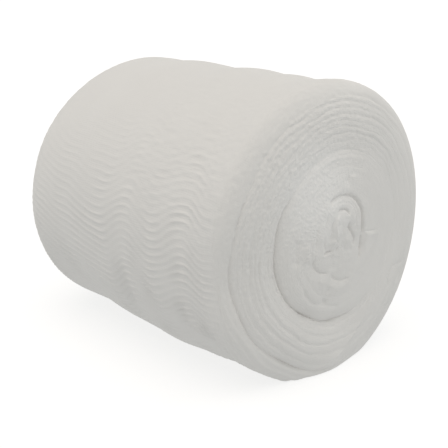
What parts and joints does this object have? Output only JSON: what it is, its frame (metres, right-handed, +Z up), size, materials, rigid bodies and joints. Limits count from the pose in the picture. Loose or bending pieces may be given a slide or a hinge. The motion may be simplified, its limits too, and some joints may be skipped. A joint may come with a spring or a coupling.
{
  "type": "gauze bandage roll",
  "caption": "Large soft coreless roll of folded absorbent gauze lying on its side, with wound folds showing at both ends.",
  "frame": {"origin": "the point of the resting surface under the middle of the roll's box", "axes": "+X along the winding axis towards the tight end, +Z up from the surface that the roll lies on, +Y to complete a right-handed frame"},
  "size_m": [0.2304, 0.1822, 0.1797],
  "materials": {
    "gauze": "matt, open weave of bleached cotton, slightly fuzzy"
  },
  "bodies": {
    "root": {"gauze_roll": "gauze"}
  },
  "joints": []
}
